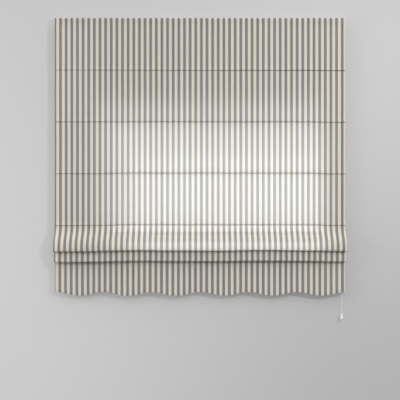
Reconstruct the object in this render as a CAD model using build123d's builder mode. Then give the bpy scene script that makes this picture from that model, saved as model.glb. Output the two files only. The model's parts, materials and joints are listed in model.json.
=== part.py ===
from build123d import *
from math import acos, atan2, copysign, cos, degrees, hypot, pi, radians, sin
import os

os.makedirs("parts", exist_ok=True)

# Cloth, in millimetres: its width, its thickness and its top edge above the middle of the wall holes
blind_width = 1300.0
cloth_thickness = 1.0
cloth_top = 18.5

# Flat panels: from the top edge to the first rod, then from rod to rod
first_panel = 235.5
panel_pitch = 231.2
flat_rods = 4

# Gathered folds: how far each one stands forward, its curve, its lowest point and its bottom turn
gathered_pitch = 17.4
fold_1_forward = 36.0
fold_1_curve_drop = 94.0
fold_1_drop = 114.4
fold_1_turn_radius = 7.0
fold_2_forward = 18.0
fold_2_curve_drop = 131.0
fold_2_drop = 146.0
fold_2_turn_radius = 5.0

# Valance below the folds, with a scalloped hem
valance_turn_drop = 20.0
valance_turn_radius = 1.6
valance_length = 267.1
scallop_count = 6
scallop_depth = 16.7

# Header hem, folded back behind the top edge
header_hem = 30.0
header_turn_radius = 1.0

# Tucks that hold the rods: corners at the face, a stitched neck and a round pocket
tuck_corner_radius = 1.6
tuck_neck_length = 1.0
tuck_neck_gap = 0.4
tuck_flare_radius = 1.6
gathered_corner_radius = 1.0
gathered_arrival_radius = 2.6

# Rods and their tips
rod_end_inset = 10.0
rod_radius = 2.0
rod_tip_wall = 0.6
rod_tip_grip = 14.0
rod_tip_cap = 2.0
rod_tip_fit = 0.05
pocket_clearance = 0.3

# Headrail, a channel with a slot along its floor
rail_end_inset = 5.0
rail_height = 32.0
rail_depth = 26.0
rail_wall = 1.4
rail_slot_width = 14.0
rail_corner_radius = 1.0
rail_to_wall = 8.0

# End caps with a hollow spigot in the upper half of the rail
cap_thickness = 3.0
cap_edge_radius = 0.5
spigot_length = 10.0
spigot_height = 10.0
spigot_wall = 1.6
spigot_clearance = 0.2

# Wall brackets, bent from strip
bracket_inset = 145.0
bracket_width = 30.0
bracket_thickness = 1.6
bracket_clearance = 0.2
bracket_bend_radius = 1.8
bracket_lip = 3.0
bracket_tab = 11.0
bracket_hole_radius = 2.5
bracket_hole_spacing = 18.0

# Hook tape on the rail and loop tape on the header hem
tape_end_inset = 3.0
tape_width = 20.0
tape_rise = 1.0
hook_tape_thickness = 1.6
loop_tape_thickness = 1.4

# Rings, lift cords and the beads that the cords are tied to
cord_columns = 4
cord_column_inset = 100.0
ring_radius = 6.0
ring_wire_radius = 1.1
ring_seat_gap = 0.25
lift_cord_radius = 0.7
cord_lane_pitch = 1.8
orb_radius = 3.4
orb_flat_share = 0.8
orb_gap = 0.3

# Bottom bar in a sewn strip behind the valance
bar_end_inset = 10.0
bar_height = 22.0
bar_thickness = 2.0
bar_corner_radius = 0.6
bar_clearance = 0.3
bar_cap_grip = 12.0
bar_cap_end = 2.0
bar_cap_wall = 0.9
bar_cap_fit = 0.05
strip_thickness = 0.8
strip_flange = 6.0
strip_end_inset = 1.6
strip_bend_drop = 6.0
strip_seam_gap = 0.2
bar_ring_drop = 5.0

# Rollers on pins, in the guides and in the lock
roller_radius = 4.0
roller_length = 10.6
roller_drop = 5.0
roller_running_gap = 0.3
roller_bore_fit = 0.05
roller_end_gap = 0.2
pin_radius = 1.0
pin_seat_fit = 0.03
cheek_thickness = 1.2

# Cord guides: a foot on the floor of the rail and a boss in its slot
guide_length = 30.0
guide_foot_thickness = 2.4
guide_foot_clearance = 0.4
guide_corner_radius = 2.0
guide_boss_length = 20.0
guide_boss_clearance = 0.3
guide_hole_radius = 4.2

# Cord lock at the right end of the rail
lock_end_gap = 0.5
lock_wall = 2.3
lock_cord_gap = 0.5
lock_foot_length = 38.0
lock_cheek_length = 17.0
lock_drop = 12.0
lock_corner_radius = 2.5
locking_roller_radius = 3.0
locking_roller_drop = 15.0
locking_travel = 4.0
locking_slope = 60.0
trunnion_radius = 1.2
trunnion_gap = 0.3
knurl_count = 14
knurl_size = 0.5

# Pull cord with its joiner and its acorn
joiner_radius = 5.0
joiner_length = 22.0
joiner_edge_radius = 2.0
joiner_drop = 500.0
pull_cord_radius = 1.1
pull_cord_length = 792.5
acorn_length = 24.0
acorn_radius = 6.0
acorn_top_radius = 2.6
acorn_waist_share = 0.34
acorn_waist_radius_share = 0.62
acorn_rim_share = 0.2
acorn_wall = 1.8
acorn_bore_fit = 0.1
acorn_knot_radius = 2.4
acorn_knot_gap = 0.3

# Lengths along the blind, each set in from the side edges of the cloth or the ends of the rail
rail_length = blind_width - 2 * rail_end_inset
rod_length = blind_width - 2 * rod_end_inset
bar_length = blind_width - 2 * bar_end_inset
strip_length = blind_width - 2 * strip_end_inset
tape_length = rail_length - 2 * tape_end_inset
bracket_spacing = rail_length / 2 - bracket_inset

# Places across the blind, from the wall forward
half_cloth = cloth_thickness / 2
rail_y = -rail_to_wall - rail_depth / 2
rail_front = -rail_to_wall - rail_depth
rail_top = rail_height / 2
rail_bottom = -rail_height / 2
floor_top = rail_bottom + rail_wall
hook_front = rail_front - hook_tape_thickness
loop_front = hook_front - loop_tape_thickness
hem_y = loop_front - half_cloth
face_y = hem_y - 2 * header_turn_radius

# Rod pockets and the plane behind them, where the rings are sewn
rod_tip_radius = rod_radius + rod_tip_wall
pocket_radius = rod_tip_radius + pocket_clearance + half_cloth
neck_half = half_cloth + tuck_neck_gap / 2
neck_y = face_y + tuck_corner_radius + tuck_neck_length
flare_turn = degrees(acos((neck_half + tuck_flare_radius) / (tuck_flare_radius + pocket_radius)))
rod_y = neck_y + (tuck_flare_radius + pocket_radius) * sin(radians(flare_turn))
back_y = rod_y + pocket_radius + half_cloth
cord_y = back_y + ring_seat_gap + ring_radius

# Heights of the rods, the valance and the bar
rod_heights = [cloth_top - first_panel - panel_pitch * i for i in range(flat_rods)]
rod_heights.append(rod_heights[-1] - gathered_pitch)
fold_1_low = rod_heights[-2] - fold_1_drop
fold_2_low = rod_heights[-1] - fold_2_drop
valance_turn_z = rod_heights[-1] - valance_turn_drop
crest_z = valance_turn_z - valance_length
bar_cap_half = bar_thickness / 2 + bar_cap_fit + bar_cap_wall
bar_y = back_y - strip_thickness - bar_clearance - bar_cap_half
valance_y = bar_y - bar_cap_half - bar_clearance - half_cloth
strip_top = valance_turn_z - strip_flange - strip_bend_drop
bar_z = strip_top - bar_height / 2
bar_ring_z = bar_z + bar_height / 2 - bar_ring_drop

# Cord columns and lanes
column_span = blind_width - 2 * cord_column_inset
column_xs = [column_span * (i / (cord_columns - 1)) - column_span / 2 for i in range(cord_columns)]
lane_ys = [cord_y + cord_lane_pitch * (i - (cord_columns - 1) / 2) for i in range(cord_columns)]
cord_turn_radius = roller_radius + roller_running_gap + lift_cord_radius
roller_z = -roller_drop
cord_run_z = roller_z + cord_turn_radius

# Lock places, from the right end of the rail inwards
lock_right = rail_length / 2 - lock_end_gap
pull_x = lock_right - lock_wall - lock_cord_gap - lift_cord_radius
wrap_x = pull_x - cord_turn_radius
locking_x = pull_x - lift_cord_radius - roller_running_gap - locking_roller_radius
locking_z = roller_z - locking_roller_drop
cheek_inner = roller_length / 2 + roller_end_gap
joiner_top = -joiner_drop
pull_cord_top = joiner_top - joiner_length
acorn_top = pull_cord_top - pull_cord_length


def draw_edge(start, heading, steps, shift):
    """Draw an edge that runs shift to the left of a path of (length, 0) lines and (radius, turn) arcs."""
    point = Vector(*start) + Vector(shift, 0).rotate(Axis.Z, heading + 90)
    for size, turn in steps:
        if turn == 0:
            end = point + Vector(size, 0).rotate(Axis.Z, heading)
            Line(point, end)
        else:
            radius = size - copysign(shift, turn * shift)
            centre = point + Vector(radius, 0).rotate(Axis.Z, heading + copysign(90, turn))
            middle = centre + (point - centre).rotate(Axis.Z, turn / 2)
            end = centre + (point - centre).rotate(Axis.Z, turn)
            ThreePointArc(point, middle, end)
        point = end
        heading += turn
    return point


def draw_strip(start, heading, steps, thickness):
    """Draw the closed section of a strip of even thickness along a path."""
    across = Vector(thickness / 2, 0).rotate(Axis.Z, heading + 90)
    left_end = draw_edge(start, heading, steps, thickness / 2)
    right_end = draw_edge(start, heading, steps, -thickness / 2)
    Line(Vector(*start) + across, Vector(*start) - across)
    Line(left_end, right_end)


def path_length(steps):
    """Length of a path of lines and arcs."""
    return sum(size if turn == 0 else size * radians(abs(turn)) for size, turn in steps)


def s_curve(forward, drop):
    """Two arcs that carry a hanging path forward over a drop and leave it hanging again."""
    turn = 2 * atan2(forward, drop)
    radius = drop / (2 * sin(abs(turn)))
    return [(radius, -degrees(turn)), (radius, degrees(turn))]


def fold(start, forward, curve_drop, low, turn_radius, top, top_radius, last_heading):
    """A fold: forward and down, round its bottom turn, then up its back leg and over the top turn."""
    bottom = (start[0] - forward + turn_radius, low + half_cloth + turn_radius)
    rise = (top[0] - bottom[0], top[1] - bottom[1])
    spread = turn_radius + top_radius
    leg = (hypot(*rise) ** 2 - spread**2) ** 0.5
    heading = degrees(atan2(rise[1], rise[0]) + atan2(spread, leg))
    return s_curve(forward, curve_drop) + [
        (start[1] - curve_drop - bottom[1], 0),
        (turn_radius, 90 + heading),
        (leg, 0),
        (top_radius, last_heading - heading),
    ]


# Path of the cloth in section, from the end of the header hem to the valance's hem
pocket_steps = [
    (tuck_flare_radius, flare_turn),
    (pocket_radius, -180 - 2 * flare_turn),
    (tuck_flare_radius, flare_turn),
]
tuck_steps = [
    (tuck_corner_radius, 90),
    (tuck_neck_length, 0),
    *pocket_steps,
    (tuck_neck_length, 0),
    (tuck_corner_radius, 90),
]
tuck_half = neck_half + tuck_corner_radius
header_turn_z = cloth_top - half_cloth - header_turn_radius
header_start = (hem_y, cloth_top - header_hem)
header_steps = [(header_turn_z - header_start[1], 0), (header_turn_radius, 180)]
panel_steps = [(header_turn_z - rod_heights[0] - tuck_half, 0), *tuck_steps]
for upper, lower in zip(rod_heights[: flat_rods - 1], rod_heights[1:flat_rods]):
    panel_steps += [(upper - lower - 2 * tuck_half, 0), *tuck_steps]

fold_1_steps = fold(
    (face_y, rod_heights[-2] - tuck_half),
    fold_1_forward,
    fold_1_curve_drop,
    fold_1_low,
    fold_1_turn_radius,
    (neck_y, rod_heights[-1] + neck_half - gathered_arrival_radius),
    gathered_arrival_radius,
    0,
)
gathered_tuck_steps = [*pocket_steps, (gathered_corner_radius, 90)]
fold_2_top = (neck_y - gathered_corner_radius, rod_heights[-1] - neck_half - gathered_corner_radius)
fold_2_steps = fold(
    fold_2_top,
    fold_2_forward + fold_2_top[0] - face_y,
    fold_2_curve_drop,
    fold_2_low,
    fold_2_turn_radius,
    (valance_y - valance_turn_radius, valance_turn_z),
    valance_turn_radius,
    -90,
)
cloth_steps = [
    *header_steps,
    *panel_steps,
    *fold_1_steps,
    *gathered_tuck_steps,
    *fold_2_steps,
    (valance_length + scallop_depth, 0),
]

# Fabric: the section drawn across the whole width, with the scallops cut from the valance
scallop_pitch = blind_width / scallop_count
scallop_z = crest_z - scallop_depth / 2
with BuildPart() as fabric:
    with BuildSketch(Plane.YZ):
        with BuildLine():
            draw_strip(header_start, 90, cloth_steps, cloth_thickness)
        make_face()
    extrude(amount=blind_width / 2, both=True)
    with BuildSketch(Plane.XZ.offset(-valance_y)):
        with BuildLine():
            left = -blind_width / 2 - scallop_pitch / 4
            for i in range(2 * scallop_count + 1):
                arc_left = left + scallop_pitch / 2 * i
                arc_top = scallop_z + scallop_depth / 2 * (-1) ** i
                ThreePointArc(
                    (arc_left, scallop_z),
                    (arc_left + scallop_pitch / 4, arc_top),
                    (arc_left + scallop_pitch / 2, scallop_z),
                )
            cut_bottom = scallop_z - 2 * scallop_depth
            Polyline((left, scallop_z), (left, cut_bottom), (-left, cut_bottom), (-left, scallop_z))
        make_face()
    extrude(amount=valance_turn_radius, both=True, mode=Mode.SUBTRACT)
fabric.part.label = "fabric"
export_step(fabric.part, "parts/fabric.step")

# Headrail
with BuildPart() as headrail:
    with BuildSketch(Plane.YZ):
        with Locations((rail_y, 0)):
            RectangleRounded(rail_depth, rail_height, rail_corner_radius)
            Rectangle(rail_depth - 2 * rail_wall, rail_height - 2 * rail_wall, mode=Mode.SUBTRACT)
        with Locations((cord_y, rail_bottom)):
            Rectangle(rail_slot_width, 4 * rail_wall, mode=Mode.SUBTRACT)
    extrude(amount=rail_length / 2, both=True)
headrail.part.label = "headrail"
export_step(headrail.part, "parts/headrail.step")

# End caps
spigot_depth = rail_depth - 2 * rail_wall - 2 * spigot_clearance
spigot_z = rail_top - rail_wall - spigot_clearance - spigot_height / 2
for name, side in (("left", -1), ("right", 1)):
    with BuildPart() as end_cap:
        with BuildSketch(Plane.YZ.offset(side * rail_length / 2)):
            with Locations((rail_y, 0)):
                RectangleRounded(rail_depth, rail_height, rail_corner_radius)
        extrude(amount=side * cap_thickness)
        fillet(end_cap.faces().sort_by(Axis.X)[-1 if side > 0 else 0].edges(), cap_edge_radius)
        with BuildSketch(Plane.YZ.offset(side * rail_length / 2)):
            with Locations((rail_y, spigot_z)):
                Rectangle(spigot_depth, spigot_height)
                inner_depth = spigot_depth - 2 * spigot_wall
                Rectangle(inner_depth, spigot_height - 2 * spigot_wall, mode=Mode.SUBTRACT)
        extrude(amount=-side * spigot_length)
    end_cap.part.label = f"end_cap_{name}"
    export_step(end_cap.part, f"parts/end_cap_{name}.step")

# Wall brackets: a lip over the rail's front, an arm along its top, a leg on the wall and a tab below
bracket_half = bracket_thickness / 2
bracket_lip_y = rail_front - bracket_clearance - bracket_half
bracket_arm_z = rail_top + bracket_clearance + bracket_half
bracket_tab_z = rail_bottom - bracket_clearance - bracket_half
bracket_start = (bracket_lip_y, rail_top - bracket_lip)
bracket_bend = (bracket_bend_radius, -90)
bracket_steps = [
    (bracket_arm_z - bracket_bend_radius - bracket_start[1], 0),
    bracket_bend,
    (-bracket_half - bracket_lip_y - 2 * bracket_bend_radius, 0),
    bracket_bend,
    (bracket_arm_z - bracket_tab_z - 2 * bracket_bend_radius, 0),
    bracket_bend,
    (bracket_tab, 0),
]
for name, place in (("left", -1), ("centre", 0), ("right", 1)):
    bracket_x = place * bracket_spacing
    with BuildPart() as wall_bracket:
        with BuildSketch(Plane.YZ.offset(bracket_x)):
            with BuildLine():
                draw_strip(bracket_start, 90, bracket_steps, bracket_thickness)
            make_face()
        extrude(amount=bracket_width / 2, both=True)
        with BuildSketch(Plane.XZ):
            with Locations((bracket_x, 0)):
                with GridLocations(0, bracket_hole_spacing, 1, 2):
                    Circle(bracket_hole_radius)
        extrude(amount=2 * bracket_thickness, mode=Mode.SUBTRACT)
    wall_bracket.part.label = f"wall_bracket_{name}"
    export_step(wall_bracket.part, f"parts/wall_bracket_{name}.step")

# Hook tape and loop tape
for name, back, thickness in (
    ("hook_tape", rail_front, hook_tape_thickness),
    ("loop_tape", hook_front, loop_tape_thickness),
):
    with BuildPart() as tape:
        with BuildSketch(Plane.XZ.offset(-back)):
            with Locations((0, tape_rise)):
                Rectangle(tape_length, tape_width)
        extrude(amount=thickness)
    tape.part.label = name
    export_step(tape.part, f"parts/{name}.step")

# Rods, their tips and the rings sewn behind them
for number, rod_z in enumerate(rod_heights, 1):
    with BuildPart() as rod:
        with BuildSketch(Plane.YZ):
            with Locations((rod_y, rod_z)):
                Circle(rod_radius)
        extrude(amount=rod_length / 2, both=True)
    rod.part.label = f"rod_{number}"
    export_step(rod.part, f"parts/rod_{number}.step")

    with BuildPart() as rod_tips:
        with BuildSketch(Plane.YZ.offset(rod_length / 2 - rod_tip_grip)):
            with Locations((rod_y, rod_z)):
                Circle(rod_tip_radius)
        extrude(amount=rod_tip_grip + rod_tip_cap)
        fillet(rod_tips.faces().sort_by(Axis.X)[-1].edges(), rod_tip_wall)
        with BuildSketch(Plane.YZ.offset(rod_length / 2)):
            with Locations((rod_y, rod_z)):
                Circle(rod_radius + rod_tip_fit)
        extrude(amount=-rod_tip_grip, mode=Mode.SUBTRACT)
        mirror(about=Plane.YZ)
    rod_tips.part.label = f"rod_tips_{number}"
    export_step(rod_tips.part, f"parts/rod_tips_{number}.step")

for number, ring_z in enumerate([*rod_heights, bar_ring_z], 1):
    with BuildPart() as rings:
        with Locations(*[(x, cord_y, ring_z) for x in column_xs]):
            Torus(ring_radius - ring_wire_radius, ring_wire_radius)
    rings.part.label = f"rings_{number}"
    export_step(rings.part, f"parts/rings_{number}.step")

# Bottom bar, its end caps and the sewn strip that holds it
with BuildPart() as bottom_bar:
    with BuildSketch(Plane.YZ):
        with Locations((bar_y, bar_z)):
            RectangleRounded(bar_thickness, bar_height, bar_corner_radius)
    extrude(amount=bar_length / 2, both=True)
bottom_bar.part.label = "bottom_bar"
export_step(bottom_bar.part, "parts/bottom_bar.step")

with BuildPart() as bar_end_caps:
    with BuildSketch(Plane.YZ.offset(bar_length / 2 - bar_cap_grip)):
        with Locations((bar_y, bar_z)):
            cap_height = bar_height + 2 * bar_cap_fit + 2 * bar_cap_wall
            RectangleRounded(2 * bar_cap_half, cap_height, bar_corner_radius + bar_cap_wall)
    extrude(amount=bar_cap_grip + bar_cap_end)
    with BuildSketch(Plane.YZ.offset(bar_length / 2)):
        with Locations((bar_y, bar_z)):
            bore_depth = bar_thickness + 2 * bar_cap_fit
            RectangleRounded(bore_depth, bar_height + 2 * bar_cap_fit, bar_corner_radius)
    extrude(amount=-bar_cap_grip, mode=Mode.SUBTRACT)
    mirror(about=Plane.YZ)
bar_end_caps.part.label = "bar_end_caps"
export_step(bar_end_caps.part, "parts/bar_end_caps.step")

strip_y = valance_y + half_cloth + strip_seam_gap + strip_thickness / 2
strip_depth = back_y - strip_thickness / 2 - strip_y
strip_steps = [
    (strip_flange, 0),
    *s_curve(-strip_depth, strip_bend_drop),
    (bar_height, 0),
    *s_curve(strip_depth, strip_bend_drop),
    (strip_flange, 0),
]
with BuildPart() as bar_pocket:
    with BuildSketch(Plane.YZ):
        with BuildLine():
            draw_strip((strip_y, valance_turn_z), -90, strip_steps, strip_thickness)
        make_face()
    extrude(amount=strip_length / 2, both=True)
bar_pocket.part.label = "bar_pocket"
export_step(bar_pocket.part, "parts/bar_pocket.step")

# Beads under the lowest rings, with a flat where the cord goes in
orb_top = bar_ring_z - ring_wire_radius - orb_gap
orb_z = orb_top - orb_radius * orb_flat_share
with BuildPart() as cord_orbs:
    with Locations(*[(x, y, orb_z) for x, y in zip(column_xs, lane_ys)]):
        Sphere(orb_radius)
    split(bisect_by=Plane.XY.offset(orb_top), keep=Keep.BOTTOM)
cord_orbs.part.label = "cord_orbs"
export_step(cord_orbs.part, "parts/cord_orbs.step")

# Cord guides and their rollers
foot_width = rail_depth - 2 * rail_wall - guide_foot_clearance
foot_top = floor_top + guide_foot_thickness
cheek_radius = roller_radius - roller_bore_fit
boss_width = rail_slot_width - 2 * guide_boss_clearance
for number, column_x in enumerate(column_xs, 1):
    roller_x = column_x + cord_turn_radius
    with BuildPart() as cord_guide:
        with BuildSketch(Plane.XY.offset(floor_top)):
            with Locations((column_x, rail_y)):
                RectangleRounded(guide_length, foot_width, guide_corner_radius)
        extrude(amount=guide_foot_thickness)
        with BuildSketch(Plane.XY.offset(floor_top)):
            with Locations((column_x, cord_y)):
                RectangleRounded(guide_boss_length, boss_width, guide_corner_radius)
        extrude(amount=-rail_wall)
        with BuildSketch(Plane.XY.offset(rail_bottom)):
            with Locations((column_x, cord_y)):
                Circle(guide_hole_radius)
        extrude(amount=rail_wall + guide_foot_thickness, mode=Mode.SUBTRACT)
        for cheek_front in (cord_y + cheek_inner + cheek_thickness, cord_y - cheek_inner):
            with BuildSketch(Plane.XZ.offset(-cheek_front)):
                with Locations((roller_x, roller_z)):
                    Circle(cheek_radius)
                with Locations((roller_x, (roller_z + foot_top) / 2)):
                    Rectangle(2 * cheek_radius, roller_z - foot_top)
                with Locations((roller_x, roller_z)):
                    Circle(pin_radius + pin_seat_fit, mode=Mode.SUBTRACT)
            extrude(amount=cheek_thickness)
    cord_guide.part.label = f"cord_guide_{number}"
    export_step(cord_guide.part, f"parts/cord_guide_{number}.step")

roller_xs = [x + cord_turn_radius for x in column_xs] + [wrap_x]
roller_names = [f"guide_roller_{i + 1}" for i in range(cord_columns)] + ["lock_wrap_roller"]
for name, roller_x in zip(roller_names, roller_xs):
    with BuildPart() as roller:
        with BuildSketch(Plane.XZ.offset(-cord_y)):
            with Locations((roller_x, roller_z)):
                Circle(roller_radius)
                Circle(pin_radius + roller_bore_fit, mode=Mode.SUBTRACT)
        extrude(amount=roller_length / 2, both=True)
    roller.part.label = name
    export_step(roller.part, f"parts/{name}.step")

with BuildPart() as roller_pins:
    with BuildSketch(Plane.XZ.offset(-cord_y)):
        with Locations(*[(x, roller_z) for x in roller_xs]):
            Circle(pin_radius)
    extrude(amount=cheek_inner + cheek_thickness, both=True)
roller_pins.part.label = "roller_pins"
export_step(roller_pins.part, "parts/roller_pins.step")

# Cord lock: a foot on the floor of the rail, two cheeks through its slot and a wall behind the cords
lock_bottom = rail_bottom - lock_drop
lock_top = roller_z + cheek_radius
lock_left = lock_right - lock_cheek_length
slide = Vector(-locking_travel * cos(radians(locking_slope)), locking_travel * sin(radians(locking_slope)))
with BuildPart() as cord_lock_body:
    with BuildSketch(Plane.XY.offset(floor_top)):
        with Locations((lock_right - lock_foot_length / 2, rail_y)):
            RectangleRounded(lock_foot_length, foot_width, guide_corner_radius)
    extrude(amount=guide_foot_thickness)
    with BuildSketch(Plane.XY.offset(floor_top)):
        with Locations((lock_right - lock_wall - lock_cheek_length / 2, cord_y)):
            Rectangle(lock_cheek_length, 2 * cheek_inner)
    extrude(amount=guide_foot_thickness, mode=Mode.SUBTRACT)
    for cheek_front in (cord_y + cheek_inner + cheek_thickness, cord_y - cheek_inner):
        with BuildSketch(Plane.XZ.offset(-cheek_front)):
            with Locations(((lock_left + lock_right) / 2, (lock_bottom + lock_top) / 2)):
                RectangleRounded(lock_cheek_length, lock_top - lock_bottom, lock_corner_radius)
            with Locations((wrap_x, roller_z)):
                Circle(pin_radius + pin_seat_fit, mode=Mode.SUBTRACT)
            with Locations((locking_x + slide.X / 2, locking_z + slide.Y / 2)):
                slot_width = 2 * trunnion_radius + 2 * trunnion_gap
                SlotCenterToCenter(locking_travel, slot_width, 180 - locking_slope, mode=Mode.SUBTRACT)
        extrude(amount=cheek_thickness)
    wall_bottom = lock_bottom + lock_corner_radius
    with BuildSketch(Plane.XZ.offset(-cord_y)):
        with Locations((lock_right - lock_wall / 2, (wall_bottom + foot_top) / 2)):
            Rectangle(lock_wall, foot_top - wall_bottom)
    extrude(amount=cheek_inner + cheek_thickness / 2, both=True)
cord_lock_body.part.label = "cord_lock_body"
export_step(cord_lock_body.part, "parts/cord_lock_body.step")

with BuildPart() as locking_roller:
    with BuildSketch(Plane.XZ.offset(-cord_y)):
        with Locations((locking_x, locking_z)):
            Circle(locking_roller_radius)
            with PolarLocations(locking_roller_radius, knurl_count):
                Rectangle(knurl_size, knurl_size, rotation=45, mode=Mode.SUBTRACT)
    extrude(amount=roller_length / 2, both=True)
    with BuildSketch(Plane.XZ.offset(-cord_y)):
        with Locations((locking_x, locking_z)):
            Circle(trunnion_radius)
    extrude(amount=cheek_inner + cheek_thickness, both=True)
locking_roller.part.label = "locking_roller"
export_step(locking_roller.part, "parts/locking_roller.step")

# Lift cords: up through the rings, over the rollers along the rail and down through the lock
cord_area = pi * lift_cord_radius**2
for number, (column_x, lane_y) in enumerate(zip(column_xs, lane_ys), 1):
    with BuildPart() as lift_cord:
        with BuildLine(Plane.XZ.offset(-lane_y)):
            run = FilletPolyline(
                (column_x, orb_top),
                (column_x, cord_run_z),
                (pull_x, cord_run_z),
                (pull_x, joiner_top),
                radius=cord_turn_radius,
            )
        with BuildSketch(Plane((column_x, lane_y, orb_top))):
            Circle(lift_cord_radius)
        sweep(path=run)
    lift_cord.part.label = f"lift_cord_{number}"
    export_step(lift_cord.part, f"parts/lift_cord_{number}.step")
    share = lift_cord.part.volume / (cord_area * run.length)
    print(f"lift_cord_{number}: {run.length:.0f} mm, turns {cord_turn_radius} mm, volume share {share:.4f}")

# Cord joiner, where the lift cords end and the pull cord begins
with BuildPart() as cord_joiner:
    with BuildSketch(Plane.XY.offset(joiner_top)):
        with Locations((pull_x, cord_y)):
            Circle(joiner_radius)
    extrude(amount=-joiner_length)
    fillet(cord_joiner.edges().sort_by(Axis.Z)[0], joiner_edge_radius)
    chamfer(cord_joiner.edges().sort_by(Axis.Z)[-1], joiner_edge_radius / 2)
cord_joiner.part.label = "cord_joiner"
export_step(cord_joiner.part, "parts/cord_joiner.step")

# Pull cord with the knot that holds the acorn
knot_z = acorn_top - acorn_length * acorn_waist_share - acorn_knot_radius - acorn_knot_gap
with BuildPart() as pull_cord:
    with BuildSketch(Plane.XY.offset(pull_cord_top)):
        with Locations((pull_x, cord_y)):
            Circle(pull_cord_radius)
    extrude(amount=knot_z - pull_cord_top)
    with Locations((pull_x, cord_y, knot_z)):
        Sphere(acorn_knot_radius)
pull_cord.part.label = "pull_cord"
export_step(pull_cord.part, "parts/pull_cord.step")

# Acorn: a bell with a bore for the cord and an open hollow for its knot
waist_z = acorn_top - acorn_length * acorn_waist_share
rim_z = acorn_top - acorn_length * (1 - acorn_rim_share)
acorn_bottom = acorn_top - acorn_length
bore_radius = pull_cord_radius + acorn_bore_fit
hollow_radius = acorn_radius - acorn_wall
with BuildPart() as acorn:
    with BuildSketch(Plane.XZ.offset(-cord_y)):
        with BuildLine():
            neck = Line((pull_x + bore_radius, acorn_top), (pull_x + acorn_top_radius, acorn_top))
            waist = Line(neck @ 1, (pull_x + acorn_radius * acorn_waist_radius_share, waist_z))
            bell = TangentArc(waist @ 1, (pull_x + acorn_radius, rim_z), tangent=waist % 1)
            ThreePointArc(
                bell @ 1,
                (pull_x + acorn_radius - acorn_wall / 4, (rim_z + acorn_bottom) / 2),
                (pull_x + hollow_radius, acorn_bottom),
            )
            Polyline(
                (pull_x + hollow_radius, acorn_bottom),
                (pull_x + acorn_knot_radius + acorn_bore_fit, waist_z - acorn_wall),
                (pull_x + bore_radius, waist_z - acorn_bore_fit),
                (pull_x + bore_radius, acorn_top),
            )
        make_face()
    revolve(axis=Axis((pull_x, cord_y, 0), (0, 0, 1)))
acorn.part.label = "acorn"
export_step(acorn.part, "parts/acorn.step")

# Lengths and travels
print(f"cloth cut {blind_width:.0f} x {path_length(cloth_steps):.0f} mm")
print(f"fifth panel {path_length(fold_1_steps) + 2 * neck_half:.1f} mm, sixth {path_length(fold_2_steps):.1f} mm")
print(f"face {face_y:.2f}, rods {rod_y:.2f}, cords {cord_y:.2f}, valance {valance_y:.2f}, bar {bar_y:.2f} mm")
print(f"pull cord {pull_cord_length:.0f} mm at {pull_x:.2f}, acorn {acorn_top:.1f} to {acorn_bottom:.1f} mm")
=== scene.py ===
import json
from collections import namedtuple
from math import acos, atan2, ceil, copysign, cos, degrees, exp, hypot, pi, radians, sin

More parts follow.
